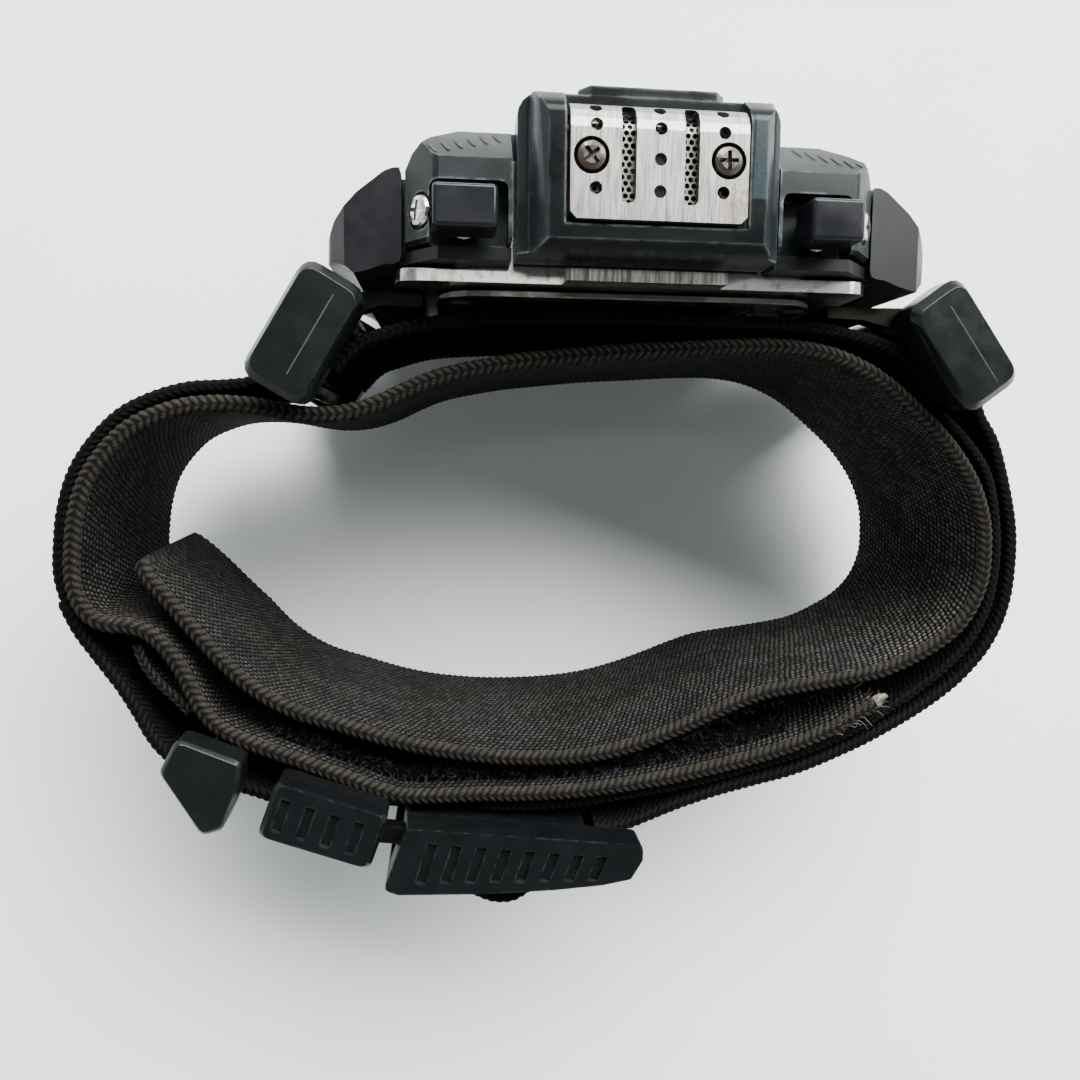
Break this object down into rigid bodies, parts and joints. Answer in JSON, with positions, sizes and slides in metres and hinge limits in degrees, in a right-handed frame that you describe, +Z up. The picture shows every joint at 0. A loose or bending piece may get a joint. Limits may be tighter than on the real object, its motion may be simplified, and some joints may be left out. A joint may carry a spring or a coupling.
{
  "type": "wrist dive computer",
  "caption": "Dive computer with a steel case, painted bezel, side pressure sensor housing, fabric band and side-release buckle, resting on its side.",
  "frame": {"origin": "middle of the bounding box at floor level; the watch rests on its 3 o'clock side", "axes": "+X along the band from 12 to 6 o'clock, +Y out of the glass, +Z up, out of the 9 o'clock side with the pressure sensor"},
  "size_m": [0.0888, 0.0702, 0.0422],
  "materials": {
    "steel": "polished, lightly worn",
    "brushed_steel": "brushed",
    "bezel_paint": "satin paint, worn at the edges",
    "resin": "matte moulded resin",
    "buckle_plastic": "semi-gloss moulded plastic",
    "button_plastic": "semi-gloss moulded plastic",
    "outer_fabric": "woven nylon webbing",
    "liner_fabric": "woven nylon with a braided edge",
    "hook_tape": "hook and loop tape",
    "glass": "clear polished glass",
    "display": "liquid crystal display",
    "mask": "printed dial mask",
    "frame_plastic": "moulded frame",
    "board": "coated circuit board",
    "cell": "nickel-plated cell",
    "rubber": "matte rubber",
    "gasket": "moulded plastic ring",
    "sensor_steel": "dull stainless"
  },
  "bodies": {
    "head": {"case_middle": "steel", "case_back": "steel", "case_back_gasket": "rubber", "case_back_screw_1": "steel", "case_back_screw_2": "steel", "case_back_screw_3": "steel", "case_back_screw_4": "steel", "glass": "glass", "glass_gasket": "gasket", "dial_mask": "mask", "lcd_panel": "display", "module_frame": "frame_plastic", "circuit_board": "board", "battery": "cell", "bezel": "bezel_paint", "bezel_screw_1": "steel", "bezel_screw_2": "steel", "bezel_screw_3": "steel", "bezel_screw_4": "steel", "sensor_housing": "bezel_paint", "sensor_grille_plate": "brushed_steel", "sensor_mesh": "sensor_steel", "pressure_sensor": "sensor_steel", "sensor_screw_left": "steel", "sensor_screw_right": "steel", "case_guard": "resin", "spring_bar_left": "steel", "spring_bar_right": "steel", "lug_bracket_left": "steel", "lug_bracket_right": "steel", "under_case_strap": "outer_fabric", "liner_band": "liner_fabric", "hook_pad": "hook_tape", "loop_pad": "hook_tape", "button_spring_1": "steel", "button_spring_2": "steel", "button_spring_3": "steel", "button_spring_4": "steel"},
    "button_1": {"button_cap_1": "button_plastic"},
    "button_2": {"button_cap_2": "button_plastic"},
    "button_3": {"button_cap_3": "button_plastic"},
    "button_4": {"button_cap_4": "button_plastic"},
    "band_left": {"ring_left": "buckle_plastic", "left_strap": "outer_fabric", "left_strap_fold": "liner_fabric", "strap_adjuster": "buckle_plastic", "buckle_male": "buckle_plastic"},
    "arm_near": {"release_arm_near": "buckle_plastic"},
    "arm_far": {"release_arm_far": "buckle_plastic"},
    "band_right": {"ring_right": "buckle_plastic", "right_strap_outer": "outer_fabric", "right_strap_inner": "outer_fabric", "right_strap_fold": "outer_fabric", "buckle_female": "buckle_plastic"}
  },
  "joints": [
    {"name": "button_1_press", "type": "slide", "parent": "head", "child": "button_1", "axis": [0, 0, -1], "range_m": [0, 0.0009], "stiffness_N_per_m": 300, "springref_m": -0.002, "deforming": ["button_spring_1"]},
    {"name": "button_2_press", "type": "slide", "parent": "head", "child": "button_2", "axis": [0, 0, -1], "range_m": [0, 0.0009], "stiffness_N_per_m": 300, "springref_m": -0.002, "deforming": ["button_spring_2"]},
    {"name": "button_3_press", "type": "slide", "parent": "head", "child": "button_3", "axis": [0, 0, 1], "range_m": [0, 0.0006], "stiffness_N_per_m": 300, "springref_m": -0.002, "deforming": ["button_spring_3"]},
    {"name": "button_4_press", "type": "slide", "parent": "head", "child": "button_4", "axis": [0, 0, 1], "range_m": [0, 0.0006], "stiffness_N_per_m": 300, "springref_m": -0.002, "deforming": ["button_spring_4"]},
    {"name": "band_left_swing", "type": "hinge", "parent": "head", "child": "band_left", "pos_m": [-0.02096, 0.0185, 0.019], "axis": [0, 0, -1], "range_deg": [0, 40]},
    {"name": "band_right_swing", "type": "hinge", "parent": "head", "child": "band_right", "pos_m": [0.03194, 0.02006, 0.019], "axis": [0, 0, 1], "range_deg": [0, 9]},
    {"name": "release_near", "type": "hinge", "parent": "band_left", "child": "arm_near", "pos_m": [-0.02455, -0.0246, 0.0294], "axis": [0.3122, 0.95, 0], "range_deg": [0, 2.4], "stiffness_Nm_per_rad": 0.05, "springref_deg": -5.73},
    {"name": "release_far", "type": "hinge", "parent": "band_left", "child": "arm_far", "pos_m": [-0.02455, -0.0246, 0.0036], "axis": [-0.3122, -0.95, 0], "range_deg": [0, 2.4], "stiffness_Nm_per_rad": 0.05, "springref_deg": -5.73}
  ],
  "couplings": [
    {"joint": "band_right_swing", "follows": "band_left_swing", "ratio": 0.22},
    {"joint": "release_far", "follows": "release_near", "ratio": 1}
  ]
}
